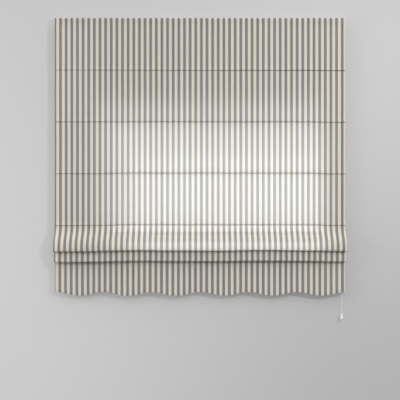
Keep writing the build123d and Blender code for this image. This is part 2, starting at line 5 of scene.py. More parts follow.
import bmesh
import bpy
from mathutils import Matrix, Vector
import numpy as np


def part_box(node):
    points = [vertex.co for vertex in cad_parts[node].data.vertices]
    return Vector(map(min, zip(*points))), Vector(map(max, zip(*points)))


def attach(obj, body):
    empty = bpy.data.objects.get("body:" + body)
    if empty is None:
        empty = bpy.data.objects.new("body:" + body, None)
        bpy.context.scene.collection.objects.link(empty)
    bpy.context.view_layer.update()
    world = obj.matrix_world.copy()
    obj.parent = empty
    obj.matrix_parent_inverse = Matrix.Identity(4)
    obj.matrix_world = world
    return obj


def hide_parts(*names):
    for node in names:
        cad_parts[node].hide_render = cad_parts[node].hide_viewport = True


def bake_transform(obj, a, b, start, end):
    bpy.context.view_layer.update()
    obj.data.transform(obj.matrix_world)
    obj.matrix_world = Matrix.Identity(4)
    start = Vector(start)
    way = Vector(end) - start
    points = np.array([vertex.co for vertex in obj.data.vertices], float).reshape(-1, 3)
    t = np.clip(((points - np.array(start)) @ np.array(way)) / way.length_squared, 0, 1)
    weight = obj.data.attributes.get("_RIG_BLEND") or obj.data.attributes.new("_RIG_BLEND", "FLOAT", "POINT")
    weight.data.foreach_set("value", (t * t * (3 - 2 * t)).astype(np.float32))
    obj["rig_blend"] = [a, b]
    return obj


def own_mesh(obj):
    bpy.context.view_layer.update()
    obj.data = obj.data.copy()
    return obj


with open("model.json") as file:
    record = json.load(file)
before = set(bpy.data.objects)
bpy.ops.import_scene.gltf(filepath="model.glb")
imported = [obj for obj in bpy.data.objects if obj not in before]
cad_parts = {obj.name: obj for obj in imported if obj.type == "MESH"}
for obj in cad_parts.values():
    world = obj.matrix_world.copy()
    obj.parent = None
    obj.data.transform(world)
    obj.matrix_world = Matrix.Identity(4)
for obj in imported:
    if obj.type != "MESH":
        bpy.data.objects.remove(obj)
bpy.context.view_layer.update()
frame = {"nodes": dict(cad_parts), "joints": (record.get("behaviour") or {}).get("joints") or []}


# Wall brackets: three clips pressed from zinc-plated steel strip. Each one hooks over the rail's front
# edge, lies along its top and takes two screws through its back.
class Dye:
    """One socket of a material's nodes, with arithmetic that adds Math nodes."""

    def __init__(self, tree, socket=None):
        self.tree = tree
        self.socket = socket

    def node(self, kind, settings=None, sockets=None, out=0):
        """Add a node, make its settings, fill its sockets with values or links and give one output."""
        made = self.tree.nodes.new(kind)
        for key, value in (settings or {}).items():
            setattr(made, key, value)
        for key, value in (sockets or {}).items():
            if isinstance(value, Dye):
                self.tree.links.new(value.socket, made.inputs[key])
            else:
                made.inputs[key].default_value = value
        return Dye(self.tree, made.outputs[out])

    def feed(self, shader, name):
        """Link this socket to a shader's socket."""
        self.tree.links.new(self.socket, shader.inputs[name])

    def place(self):
        """Where a point is on its own object."""
        return self.node("ShaderNodeTexCoord", out="Object")

    def attribute(self, name):
        """A value that is stored on the mesh."""
        return self.node("ShaderNodeAttribute", {"attribute_name": name}, out="Fac")

    def axis(self, number):
        """One part of a vector."""
        return self.node("ShaderNodeSeparateXYZ", None, {0: self}, out=number)

    def stretched(self, shares):
        """A vector with its parts multiplied by shares."""
        return self.node("ShaderNodeVectorMath", {"operation": "MULTIPLY"}, {0: self, 1: shares})

    def noise(self, scale, detail):
        """Soft noise over a vector."""
        return self.node("ShaderNodeTexNoise", None, {"Vector": self, "Scale": scale, "Detail": detail})

    def math(self, operation, first, second=0.0):
        return self.node("ShaderNodeMath", {"operation": operation}, {0: first, 1: second})

    def __add__(self, other):
        return self.math("ADD", self, other)

    def __sub__(self, other):
        return self.math("SUBTRACT", self, other)

    def __rsub__(self, other):
        return self.math("SUBTRACT", other, self)

    def __mul__(self, other):
        return self.math("MULTIPLY", self, other)

    def __truediv__(self, other):
        return self.math("DIVIDE", self, other)

    def __rtruediv__(self, other):
        return self.math("DIVIDE", other, self)

    def __abs__(self):
        return self.math("ABSOLUTE", self)

    __radd__ = __add__
    __rmul__ = __mul__

    def sine(self):
        return self.math("SINE", self)

    def fraction(self):
        return self.math("FRACT", self)

    def below(self, limit):
        return self.math("LESS_THAN", self, limit)

    def ramp(self, low, high):
        """0 below low, 1 above high and smooth between them."""
        sockets = {"Value": self, "From Min": low, "From Max": high}
        return self.node("ShaderNodeMapRange", {"interpolation_type": "SMOOTHSTEP"}, sockets)

    def mix(self, first, second):
        """A colour from first to second as this socket goes from 0 to 1."""
        colours = {0: self, 6: first, 7: second}
        return self.node("ShaderNodeMix", {"data_type": "RGBA"}, colours, out=2)

    def relief(self, depth):
        """A normal from this socket as a height, depth metres deep."""
        return self.node("ShaderNodeBump", None, {"Height": self, "Distance": depth, "Strength": 1.0})


def blank_finish(name, **constants):
    """A new material: its Principled shader with constant sockets set, and the start of its nodes."""
    material = bpy.data.materials.new(name)
    material.use_nodes = True
    shader = material.node_tree.nodes["Principled BSDF"]
    for socket, value in constants.items():
        shader.inputs[socket.replace("_", " ")].default_value = value
    return material, shader, Dye(material.node_tree)


def grained_finish(name, colours, stretch, scale, roughness, depth, **constants):
    """A finish that drifts between two colours, with a stretched grain in its roughness and relief."""
    material, shader, start = blank_finish(name, **constants)
    place = start.place()
    grain = place.stretched(stretch).noise(scale, 3.0)
    drift = place.noise(14.0, 4.0)
    blend = drift.ramp(0.3, 0.7) * 0.7 + grain * 0.3
    blend.mix(*[(*colour, 1.0) for colour in colours]).feed(shader, "Base Color")
    (grain * (roughness[1] - roughness[0]) + roughness[0]).feed(shader, "Roughness")
    grain.relief(depth).feed(shader, "Normal")
    return material


def dress(material, *nodes):
    """Give CAD nodes a material."""
    for node in nodes:
        for slot in frame["nodes"][node].material_slots:
            slot.material = material


zinc_plate = grained_finish(
    "zinc_plate",
    ((0.55, 0.57, 0.60), (0.68, 0.68, 0.65)),
    stretch=(1.0, 0.12, 0.12),
    scale=900.0,
    roughness=(0.28, 0.46),
    depth=0.00002,
    Metallic=1.0,
)
dress(zinc_plate, "wall_bracket_left", "wall_bracket_centre", "wall_bracket_right")

# Headrail: an aluminium channel with a slot along its floor, powder coated satin white.
# It hangs in the brackets and carries the cloth, the cord guides and the lock.
powder_coat = grained_finish(
    "powder_coat",
    ((0.80, 0.80, 0.78), (0.86, 0.86, 0.84)),
    stretch=(1.0, 1.0, 1.0),
    scale=650.0,
    roughness=(0.34, 0.48),
    depth=0.00004,
)
dress(powder_coat, "headrail")

# Moulded fittings: end caps on the rail, guides on its floor, the lock's body and the caps on the bar
# and the rods. All are white acetal with the fine spark finish of their moulds.
columns = (1, 2, 3, 4)
rods = (1, 2, 3, 4, 5)
moulded_plastic = grained_finish(
    "moulded_plastic",
    ((0.78, 0.78, 0.76), (0.84, 0.84, 0.82)),
    stretch=(1.0, 1.0, 1.0),
    scale=1800.0,
    roughness=(0.38, 0.56),
    depth=0.00002,
)
dress(moulded_plastic, "end_cap_left", "end_cap_right", "cord_lock_body", "bar_end_caps")
dress(moulded_plastic, *[f"cord_guide_{i}" for i in columns], *[f"rod_tips_{i}" for i in rods])

# Rollers: smooth acetal drums, one in each guide and one in the lock, that the lift cords run over.
# They turn on steel pins, and a knurled brass roller beside them grips the cords.
turned_acetal = grained_finish(
    "turned_acetal",
    ((0.74, 0.74, 0.72), (0.82, 0.82, 0.80)),
    stretch=(0.1, 1.0, 0.1),
    scale=2600.0,
    roughness=(0.22, 0.38),
    depth=0.00001,
)
dress(turned_acetal, *[f"guide_roller_{i}" for i in columns], "lock_wrap_roller")
drawn_steel = grained_finish(
    "drawn_steel",
    ((0.50, 0.50, 0.51), (0.62, 0.62, 0.62)),
    stretch=(1.0, 0.05, 1.0),
    scale=2400.0,
    roughness=(0.22, 0.40),
    depth=0.00001,
    Metallic=1.0,
)
dress(drawn_steel, "roller_pins")
plain_brass = grained_finish(
    "plain_brass",
    ((0.60, 0.44, 0.17), (0.76, 0.60, 0.30)),
    stretch=(1.0, 0.2, 1.0),
    scale=1400.0,
    roughness=(0.26, 0.48),
    depth=0.00002,
    Metallic=1.0,
)
dress(plain_brass, "locking_roller")

# Hook tape and loop tape: nylon tape glued to the rail's front, and its softer mate sewn to the back of
# the header hem. Stiff hooks stand in rows on one and a nap of loops covers the other.
hook_nylon = grained_finish(
    "hook_nylon",
    ((0.70, 0.70, 0.68), (0.86, 0.86, 0.84)),
    stretch=(1.0, 1.0, 0.6),
    scale=1100.0,
    roughness=(0.45, 0.75),
    depth=0.0006,
)
dress(hook_nylon, "hook_tape")
loop_nylon = grained_finish(
    "loop_nylon",
    ((0.76, 0.76, 0.74), (0.88, 0.88, 0.86)),
    stretch=(1.0, 1.0, 1.0),
    scale=2200.0,
    roughness=(0.80, 0.98),
    depth=0.0005,
    Sheen_Weight=0.3,
)
dress(loop_nylon, "loop_tape")

# Rods: pultruded glass-fibre rods in the sewn tucks, which keep the cloth straight across its width.
# The fibres run along the rod and show as fine pale streaks under the resin.
pultruded_rod = grained_finish(
    "pultruded_rod",
    ((0.70, 0.68, 0.60), (0.84, 0.83, 0.77)),
    stretch=(0.02, 1.0, 1.0),
    scale=2600.0,
    roughness=(0.20, 0.42),
    depth=0.00002,
    Coat_Weight=0.3,
)
dress(pultruded_rod, *[f"rod_{i}" for i in rods])

# Bottom bar: a flat aluminium extrusion that weighs the cloth down behind the valance, left as it came
# from the die, with draw lines along it.
mill_aluminium = grained_finish(
    "mill_aluminium",
    ((0.66, 0.67, 0.69), (0.80, 0.80, 0.80)),
    stretch=(0.01, 1.0, 1.0),
    scale=1800.0,
    roughness=(0.26, 0.44),
    depth=0.00002,
    Metallic=1.0,
)
dress(mill_aluminium, "bottom_bar")

# Rings and beads: small rings sewn behind each rod to lead the lift cords, and the beads under the
# lowest ones that the cords are tied to. Both are moulded in milky plastic.
milky_plastic = grained_finish(
    "milky_plastic",
    ((0.72, 0.74, 0.73), (0.84, 0.85, 0.84)),
    stretch=(1.0, 1.0, 1.0),
    scale=900.0,
    roughness=(0.16, 0.30),
    depth=0.00002,
    Coat_Weight=0.2,
    Subsurface_Weight=0.15,
)
dress(milky_plastic, *[f"rings_{i}" for i in (*rods, 6)], "cord_orbs")

# Cloth: one length of plain woven cotton in grey and cream stripes, hemmed at its sides and hung on the
# tape. It is sewn into a tuck at each rod, falls in two gathered folds and ends in a scalloped valance.
def corners_of(node):
    """The low and the high corner of a node's box."""
    return [Vector(corner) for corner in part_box(node)]


cloth_low, cloth_high = corners_of("fabric")
half_cloth = 0.0005
side_ease = 0.0035
cloth_edge = cloth_high.x + side_ease
side_hem = 0.025
hem_stitch = 0.022
stitch_width = 0.0008
stitch_pitch = 0.004
stitch_share = 0.7
seam_pitch = 0.003
seam_share = 0.8
stripe_period = 0.02533
stripe_softness = 0.42
slub_waver = 0.0008
cream_centre = -0.0065
cream_yarn = (0.89, 0.834, 0.68, 1.0)
grey_yarn = (0.251, 0.245, 0.266, 1.0)
hem_thread = (0.62, 0.60, 0.55, 1.0)
# Painted shade: a near-black grey laid in dashes on the tucks, standing in for the shade in each seam's crease.
crease_shade_grey = (0.02, 0.02, 0.022, 1.0)
crease_shade_strength = 0.36
yarn_pitch = 0.00055
weave_depth = 0.00012
grey_passes = 0.195
cream_passes = 0.225
passed_tint = (0.94, 0.95, 0.97, 1.0)
cloth_cuts = 155


def plain_weave(across, run):
    """The height of a plain weave, whose yarns go over and under each other."""
    turns = 2 * pi / yarn_pitch
    return (across * turns).sine() * (run * turns).sine()


def stitched(along, pitch, share):
    """1 on each stitch along a row and 0 in the gaps between them."""
    return (along / pitch).fraction().below(share)


def striped_weave():
    """Warp stripes with soft edges, slubs along the yarns, a plain weave and rows of stitches on hems."""
    material, shader, start = blank_finish("striped_weave", Sheen_Weight=0.15, Sheen_Roughness=0.5)
    across = start.attribute("across")
    run = start.attribute("run")
    flat = start.node("ShaderNodeCombineXYZ", None, {0: across, 1: run})
    warp = flat.stretched((1.0, 0.02, 0.0)).noise(1600.0, 2.0)
    weft = flat.stretched((0.02, 1.0, 0.0)).noise(1600.0, 2.0)
    phase = (across - cream_centre + (warp - 0.5) * slub_waver) * (2 * pi / stripe_period) + pi / 2
    stripe = phase.sine().ramp(-stripe_softness, stripe_softness)
    colour = stripe.mix(grey_yarn, cream_yarn)
    shade = (warp + weft).ramp(0.6, 1.4)
    worn = start.node(
        "ShaderNodeMix",
        {"data_type": "RGBA", "blend_type": "MULTIPLY"},
        {0: 1.0, 6: colour, 7: shade.mix((0.93, 0.93, 0.93, 1.0), (1.0, 1.0, 1.0, 1.0))},
        out=2,
    )
    row = abs(abs(across) - (cloth_edge + hem_stitch)).below(stitch_width / 2)
    stitch = start.attribute("hem") * row * stitched(run, stitch_pitch, stitch_share)
    # Painted shade on the tucks, in dashes like stitches, as strong as the seam layer says.
    crease_shade = start.attribute("seam") * stitched(across, seam_pitch, seam_share)
    hemmed = stitch.mix(worn, hem_thread)
    (crease_shade * crease_shade_strength).mix(hemmed, crease_shade_grey).feed(shader, "Base Color")
    (shade * 0.12 + 0.80).feed(shader, "Roughness")
    over = plain_weave(across, run)
    (over + shade + stitch * 2.0).relief(weave_depth).feed(shader, "Normal")
    thin = start.node("ShaderNodeBsdfTranslucent", None, {"Color": passed_tint})
    face = Dye(start.tree, shader.outputs[0])
    passes = stripe * (cream_passes - grey_passes) + grey_passes
    both = start.node("ShaderNodeMixShader", None, {0: passes, 1: face, 2: thin})
    both.feed(start.tree.nodes["Material Output"], "Surface")
    return material


def left_of(heading):
    """The unit vector to the left of a heading in the cloth's section, where y is across and z is up."""
    return Vector((0, cos(radians(heading + 90)), sin(radians(heading + 90))))


Pen = namedtuple("Pen", "y z heading run")


def draw_section(bm, x, pen, steps, shift, hem):
    """Draw cloth in section at x from a pen's place, shifted to its left: the edges and the moved pen."""
    line_row = 0.012
    arc_row = 12.0
    y, z, heading, run = pen
    run_layer = bm.verts.layers.float["run"]
    hem_layer = bm.verts.layers.float["hem"]
    tip = bm.verts.new(Vector((x, y, z)) + shift * left_of(heading))
    tip[run_layer] = run
    tip[hem_layer] = hem
    edges = []
    for size, turn in steps:
        length = size if turn == 0 else size * radians(abs(turn))
        rows = ceil(length / line_row) if turn == 0 else ceil(abs(turn) / arc_row)
        centre = tip.co + left_of(heading) * (copysign(size, turn) - shift)
        for _ in range(rows):
            made = bmesh.ops.extrude_vert_indiv(bm, verts=[tip])
            tip = made["verts"][0]
            edges += made["edges"]
            if turn == 0:
                bmesh.ops.translate(bm, verts=[tip], vec=left_of(heading - 90) * (size / rows))
            else:
                swing = Matrix.Rotation(radians(turn / rows), 3, "X")
                bmesh.ops.rotate(bm, verts=[tip], cent=centre, matrix=swing)
            run += length / rows
            tip[run_layer] = run
        heading += turn
    end = tip.co - shift * left_of(heading)
    return edges, Pen(end.y, end.z, heading, run)


def cut_across(bm, cuts):
    """Cut the cloth's whole width into columns."""
    wide = [edge for edge in bm.edges if abs(edge.verts[0].co.x - edge.verts[1].co.x) > cloth_edge]
    bmesh.ops.subdivide_edges(bm, edges=wide, cuts=cuts, use_grid_fill=True)
    bmesh.ops.recalc_face_normals(bm, faces=bm.faces)


def face_front(bm):
    """Turn the faces to the right of the cloth's run, which is its front."""
    face = max(bm.faces, key=lambda item: item.calc_area())
    along = next(edge for edge in face.edges if abs(edge.verts[0].co.x - edge.verts[1].co.x) < 1e-6)
    upper, lower = sorted(along.verts, key=lambda vert: vert[bm.verts.layers.float["run"]])
    forward = lower.co - upper.co
    if face.normal.dot(Vector((0, forward.z, -forward.y))) < 0:
        bmesh.ops.reverse_faces(bm, faces=bm.faces)


def settle(bm, name, material):
    """Make a bmesh a smooth piece of its own, at the origin."""
    mesh = bpy.data.meshes.new(name)
    bm.to_mesh(mesh)
    bm.free()
    mesh.shade_smooth()
    mesh.materials.append(material)
    piece = bpy.data.objects.new(name, mesh)
    bpy.context.collection.objects.link(piece)
    return piece


def sew(name, pen, steps, shape=None, ease=1.0, drift=0.0, seam=(0, 0)):
    """Sew a width of the cloth along its section, with both side hems: the piece and the moved pen."""
    bm = bmesh.new()
    layers = bm.verts.layers.float
    for layer in ("across", "seam", "run", "hem"):
        layers.new(layer)
    turned = cloth_edge - half_cloth
    wrap = (
        (cloth_edge - side_hem, half_cloth, 1),
        (turned, half_cloth, 1),
        (cloth_edge, 0, 1),
        (turned, -half_cloth, 0),
    )
    threads = [(-x, shift, hem) for x, shift, hem in wrap] + list(reversed(wrap))
    chains = []
    for x, shift, hem in threads:
        edges, end = draw_section(bm, x, pen, steps, shift, hem)
        chains.append(edges)
    for one, other in zip(chains, chains[1:]):
        bmesh.ops.bridge_loops(bm, edges=one + other)
    cut_across(bm, cloth_cuts)
    face_front(bm)
    for vert in bm.verts:
        # Laid flat, the cloth that is turned back in a hem lies past the edge.
        lay = vert.co.x
        if vert[layers["hem"]] == 1:
            lay = copysign(2 * cloth_edge - abs(lay), lay)
        vert[layers["across"]] = (lay - drift) * ease
        # The seam layer holds how strongly crease shade is painted on this piece, from its left end to its right.
        rightward = (vert.co.x / cloth_edge + 1) / 2
        vert[layers["seam"]] = seam[0] + (seam[1] - seam[0]) * rightward
        if shape:
            shape(vert.co)
    piece = settle(bm, name, cloth)
    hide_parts("fabric")
    end.run - pen.run
    return piece, end


cloth = striped_weave()

# Header: the top of the cloth, folded back over itself in a hem and sewn to the loop tape. It presses on
# to the hook tape and stays on the rail when the blind is raised.
rail_low, _ = corners_of("headrail")
header_hem = 0.030
header_turn = 0.001
header_skirt = 0.004
hem_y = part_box("loop_tape")[0][1] - half_cloth
header_turn_z = cloth_high.z - half_cloth - header_turn
header_end = rail_low.z - header_skirt
pen = Pen(hem_y, cloth_high.z - header_hem, 90.0, 0.0)
header_steps = [
    (header_turn_z - pen.z, 0),
    (header_turn, 180),
    (header_turn_z - header_end, 0),
]
header, pen = sew("cloth_header", pen, header_steps)
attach(header, "headrail")
face_y = pen.y

# Flat panels and tucks: between rods the cloth hangs flat, and at each rod it is pinched back through a
# sewn neck into a round pocket.
def middle_of(node):
    """The middle of a node's box."""
    low, high = corners_of(node)
    return (low + high) / 2


def soft_wave(x, long, short):
    """A soft wave across the cloth: a long and a short sine, each of a rate and a start."""
    return sin(long[0] * x + long[1]) + 0.6 * sin(short[0] * x + short[1])


rod_places = [middle_of(f"rod_{i}") for i in rods]
tuck_corner = 0.0016
neck_length = 0.001
neck_half = half_cloth + 0.0002
flare = 0.0016
tip_low, tip_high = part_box("rod_tips_1")
rod_tip_radius = (tip_high[2] - tip_low[2]) / 2
cloth_gap = 0.0003
pocket = rod_tip_radius + cloth_gap + half_cloth
flare_turn = degrees(acos((neck_half + flare) / (flare + pocket)))
pocket_steps = [(flare, flare_turn), (pocket, -180 - 2 * flare_turn), (flare, flare_turn)]
tuck_steps = [
    (tuck_corner, 90),
    (neck_length, 0),
    *pocket_steps,
    (neck_length, 0),
    (tuck_corner, 90),
]
tuck_half = neck_half + tuck_corner
panel_bow = 0.0006
seam_bulge = 0.0017
bulge_height = 0.003
bulge_droop = 0.0012
seam_sags = {
    1: (0.0, 0.0009, 0.0018),
    2: (0.0014, 0.0016, 0.0036),
    3: (0.0036, 0.0003, 0.0045),
    4: (0.0060, 0.0018, 0.0054),
}
# How strongly the crease shade is painted on each tuck, at its left and at its right end.
crease_shade_weights = {1: (0.0, 1.7), 2: (0.6, 1.4), 3: (0.9, 1.3), 4: (0.6, 0.9)}
sag_middle = 0.08
sag_starts = 0.39
sag_ends = 0.53
sag_reach = 0.03
neck_slant = 0.0045
seam_rows = 16
seam_row = 0.00125
travels = {
    joint["name"]: max(abs(end) for end in joint["range_m"])
    for joint in frame["joints"]
    if "range_m" in joint
}


def eased(value, low, high):
    """0 below low, 1 above high and smooth between them."""
    share = min(max((value - low) / (high - low), 0), 1)
    return share * share * (3 - 2 * share)


def seam_sag(number, x):
    """How far a seam hangs below its rod at x: mostly towards its ends, where no cord lifts it."""
    left, middle, right = seam_sags.get(number, (0, 0, 0))
    at_left = eased(sag_middle - x, sag_starts, sag_ends)
    at_right = eased(x - sag_middle, sag_starts, sag_ends)
    return at_left * left + (1 - at_left - at_right) * middle + at_right * right


def slanted(number):
    """A tuck's neck, which slants from its sagging seam back to the round pocket."""

    def shape(co):
        co.z -= seam_sag(number, co.x) * (1 - eased(co.y, face_y, face_y + neck_slant))

    return shape


def bowed(number, top, bottom):
    """A panel's slight waves, the sag of both its seams and the roll where it hangs over the lower one."""

    def shape(co):
        below_top = top - co.z
        above_bottom = co.z - bottom
        hang = sin(pi * below_top / (top - bottom))
        co.y += panel_bow * hang * soft_wave(co.x, (9.7, 40 * top), (17.3, -25 * top))
        rise = above_bottom / bulge_height
        roll = rise * exp(1 - rise)
        co.y -= seam_bulge * roll
        co.z -= bulge_droop * roll
        co.z -= seam_sag(number, co.x) * exp(-above_bottom / sag_reach)
        co.z -= seam_sag(number - 1, co.x) * exp(-below_top / sag_reach)

    return shape


flat_panels = rods[:4]
for number in flat_panels:
    top = pen.z
    bottom = rod_places[number - 1].z + tuck_half
    held_by = "headrail" if number == 1 else f"rod_{number - 1}"
    fold_joint = "raise" if number == 1 else f"panel_{number}_fold"
    panel_steps = [(top - bottom - seam_rows * seam_row, 0), *[(seam_row, 0)] * seam_rows]
    panel, pen = sew(
        f"cloth_panel_{number}",
        pen,
        panel_steps,
        bowed(number, top, bottom),
    )
    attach(panel, held_by)
    closed_share = 1 - travels[fold_joint] / (top - bottom)
    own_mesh(panel)
    tuck, pen = sew(
        f"cloth_tuck_{number}",
        pen,
        tuck_steps,
        slanted(number),
        seam=crease_shade_weights[number],
    )
    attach(tuck, f"rod_{number}")

# Gathered folds: below the fourth rod the cloth falls forward, turns up behind itself to the fifth rod
# and falls forward again, so two soft folds hang one behind the other. Their back legs let out.
neck_y = face_y + tuck_corner + neck_length
fold_1_forward = 0.036
fold_1_curve = 0.094
fold_1_low = rod_places[3].z - 0.1144
fold_1_turn = 0.007
fold_2_forward = 0.018
fold_2_curve = 0.131
fold_2_low = rod_places[4].z - 0.146
fold_2_turn = 0.005
arrival = 0.0026
gathered_corner = 0.001
valance_turn = 0.0016
valance_turn_z = rod_places[4].z - 0.020
valance_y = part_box("bar_end_caps")[0][1] - cloth_gap - half_cloth
fold_1_waver = 0.0016
fold_2_waver = 0.0009
fold_wave = 0.0012
fold_tilt = 0.0016
end_sag = 0.0035


def s_curve(forward, drop):
    """Two arcs that carry hanging cloth forward over a drop and leave it hanging again."""
    turn = 2 * atan2(forward, drop)
    radius = drop / (2 * sin(abs(turn)))
    return [(radius, -degrees(turn)), (radius, degrees(turn))]


def fold_halves(start, forward, curve, low, turn, top, top_turn, last_heading):
    """A fold's front, down to its lowest point, and its back leg up to the top turn."""
    bottom = (start[0] - forward + turn, low + half_cloth + turn)
    rise = (top[0] - bottom[0], top[1] - bottom[1])
    spread = turn + top_turn
    leg = (hypot(*rise) ** 2 - spread**2) ** 0.5
    heading = degrees(atan2(rise[1], rise[0]) + atan2(spread, leg))
    front = s_curve(forward, curve) + [(start[1] - curve - bottom[1], 0), (turn, 90)]
    back = [(turn, heading), (leg, 0), (top_turn, last_heading - heading)]
    return front, back


def wavered(top, low, height):
    """A fold's uneven lower edge and soft waves, none at its top."""

    def shape(co):
        hang = eased(top - co.z, 0, top - low)
        waver = sin(11.0 * co.x + 4.43) + 0.25 * sin(23.0 * co.x + 2.0) - 0.4
        side = co.x / cloth_edge
        co.z += hang * (height * waver + fold_tilt * side - end_sag * side**4)
        co.y += hang * fold_wave * soft_wave(co.x, (7.3, 2.1), (15.1, 0))

    return shape


fold_gap = 0.004
fold_1_front, fold_1_back = fold_halves(
    (face_y, rod_places[3].z - tuck_half),
    fold_1_forward,
    fold_1_curve,
    fold_1_low,
    fold_1_turn,
    (neck_y, rod_places[4].z + neck_half - arrival),
    arrival,
    0,
)
fold_1_shape = wavered(rod_places[4].z - fold_gap, fold_1_low, fold_1_waver)
fold_1_top = pen.z


def fold_1_face(co):
    """The first fold's front, which starts at the sagging seam above it."""
    below_top = fold_1_top - co.z
    fold_1_shape(co)
    co.z -= seam_sag(4, co.x) * exp(-below_top / sag_reach)


front_1, pen = sew("cloth_fold_1_front", pen, fold_1_front, fold_1_face)
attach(front_1, "rod_4")
turn_point = (0, pen.y, pen.z)
back_1, pen = sew("cloth_fold_1_back", pen, fold_1_back, fold_1_shape)
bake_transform(back_1, "rod_4", "rod_5", start=turn_point, end=(0, turn_point[1], rod_places[4].z - fold_gap))
tuck_5, pen = sew("cloth_tuck_5", pen, [*pocket_steps, (gathered_corner, 90)])
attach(tuck_5, "rod_5")

fold_2_front, fold_2_back = fold_halves(
    (pen.y, pen.z),
    fold_2_forward + pen.y - face_y,
    fold_2_curve,
    fold_2_low,
    fold_2_turn,
    (valance_y - valance_turn, valance_turn_z),
    valance_turn,
    -90,
)
fold_2_shape = wavered(valance_turn_z - fold_gap, fold_2_low, fold_2_waver)
front_2, pen = sew("cloth_fold_2_front", pen, fold_2_front, fold_2_shape)
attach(front_2, "rod_5")
turn_point = (0, pen.y, pen.z)
back_2, pen = sew("cloth_fold_2_back", pen, fold_2_back, fold_2_shape)
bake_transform(back_2, "rod_5", "bottom_bar", start=turn_point, end=(0, turn_point[1], valance_turn_z - fold_gap))

# Valance: the end of the cloth, which hangs over the bar's pocket. Its lower edge is cut in six shallow
# scallops and finished with a narrow facing turned up behind.
scallop_count = 6
scallop_depth = 0.0167
facing = 0.012
facing_turn = 0.001
crest_z = cloth_low.z + scallop_depth
scallop_pitch = 2 * cloth_edge / scallop_count
scallop_shift = 0.002
scallop_radius = (scallop_pitch**2 / 4 + scallop_depth**2) / (4 * scallop_depth)
stripe_spread = 0.99505
stripe_drift = -0.00135
valance_wave = 0.0022


def scalloped(co):
    """Lower the hem into scallops made of equal arcs, and let the cloth wave a little towards it."""
    hang = min(max((valance_turn_z - co.z) / (valance_turn_z - crest_z), 0), 1)
    place = (co.x + cloth_edge - scallop_shift) / scallop_pitch % 1
    from_crest = min(place, 1 - place) * scallop_pitch
    from_dip = scallop_pitch / 2 - from_crest
    near = min(from_crest, from_dip)
    sag = scallop_radius - (scallop_radius**2 - near**2) ** 0.5
    drop = sag if from_crest < from_dip else scallop_depth - sag
    co.z -= drop * hang
    co.y += hang * valance_wave * soft_wave(co.x, (8.3, 0.4), (13.9, 1.7))


valance_steps = [
    (valance_turn_z - crest_z - half_cloth - facing_turn, 0),
    (facing_turn, 180),
    (facing, 0),
]
valance, pen = sew(
    "cloth_valance",
    pen,
    valance_steps,
    scalloped,
    ease=stripe_spread,
    drift=stripe_drift,
)
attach(valance, "bottom_bar")

# Bar pocket: a strip of plain undyed cotton, sewn behind the valance along both its edges. The bar slides
# into it from the side.
strip_low, strip_high = corners_of("bar_pocket")
strip_thickness = 0.0008
strip_flange = 0.006
strip_bend = 0.006
strip_cuts = 60
bar_low, bar_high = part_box("bottom_bar")
bar_height = bar_high[2] - bar_low[2]
strip_depth = strip_high.y - strip_low.y - strip_thickness
strip_steps = [
    (strip_flange, 0),
    *s_curve(-strip_depth, strip_bend),
    (bar_height, 0),
    *s_curve(strip_depth, strip_bend),
    (strip_flange, 0),
]


def plain_cotton():
    """Undyed plain weave with a row of stitches along each flange."""
    material, shader, start = blank_finish("plain_cotton", Sheen_Weight=0.15)
    place = start.place()
    across = place.axis(0)
    run = start.attribute("run")
    over = plain_weave(across, run)
    slub = place.noise(420.0, 4.0)
    middle = strip_length / 2
    row = abs(abs(run - middle) - (middle - strip_flange / 2)).below(stitch_width / 2)
    stitch = row * stitched(across, stitch_pitch, stitch_share)
    weave = slub.ramp(0.3, 0.7).mix((0.70, 0.67, 0.60, 1.0), (0.80, 0.78, 0.72, 1.0))
    stitch.mix(weave, (0.52, 0.50, 0.46, 1.0)).feed(shader, "Base Color")
    (slub * 0.15 + 0.80).feed(shader, "Roughness")
    (over + slub + stitch * 2.0).relief(weave_depth).feed(shader, "Normal")
    return material


bm = bmesh.new()
bm.verts.layers.float.new("run")
bm.verts.layers.float.new("hem")
strip_pen = Pen(strip_low.y + strip_thickness / 2, strip_high.z, -90.0, 0.0)
left_edges, _ = draw_section(bm, strip_low.x, strip_pen, strip_steps, 0, 0)
right_edges, strip_end = draw_section(bm, strip_high.x, strip_pen, strip_steps, 0, 0)
strip_length = strip_end.run
bmesh.ops.bridge_loops(bm, edges=left_edges + right_edges)
cut_across(bm, strip_cuts)
bar_pocket = settle(bm, "bar_pocket_strip", plain_cotton())
body = bar_pocket.modifiers.new("thickness", "SOLIDIFY")
body.thickness = strip_thickness
body.offset = 0
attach(bar_pocket, "bottom_bar")
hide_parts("bar_pocket")

# Lift cords: four braided polyester cords, tied to the beads and threaded up through the rings. Each one
# turns over its guide's roller, runs along the rail to the lock and comes down to the joiner.
cord_radius = 0.0007
cord_sides = 10
cord_boxes = [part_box(f"lift_cord_{i}") for i in columns]
cord_lanes = [(high[1] + low[1]) / 2 for low, high in cord_boxes]
roller_places = [middle_of(f"guide_roller_{i}") for i in columns]
wrap_place = middle_of("lock_wrap_roller")
cord_turn = cord_boxes[0][1][2] - cord_radius - wrap_place.z
pull_x = wrap_place.x + cord_turn
lock_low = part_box("cord_lock_body")[0][2]
_, joiner_high = corners_of("cord_joiner")
bead_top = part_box("cord_orbs")[1][2]
cord_nodes = [f"lift_cord_{i}" for i in columns]


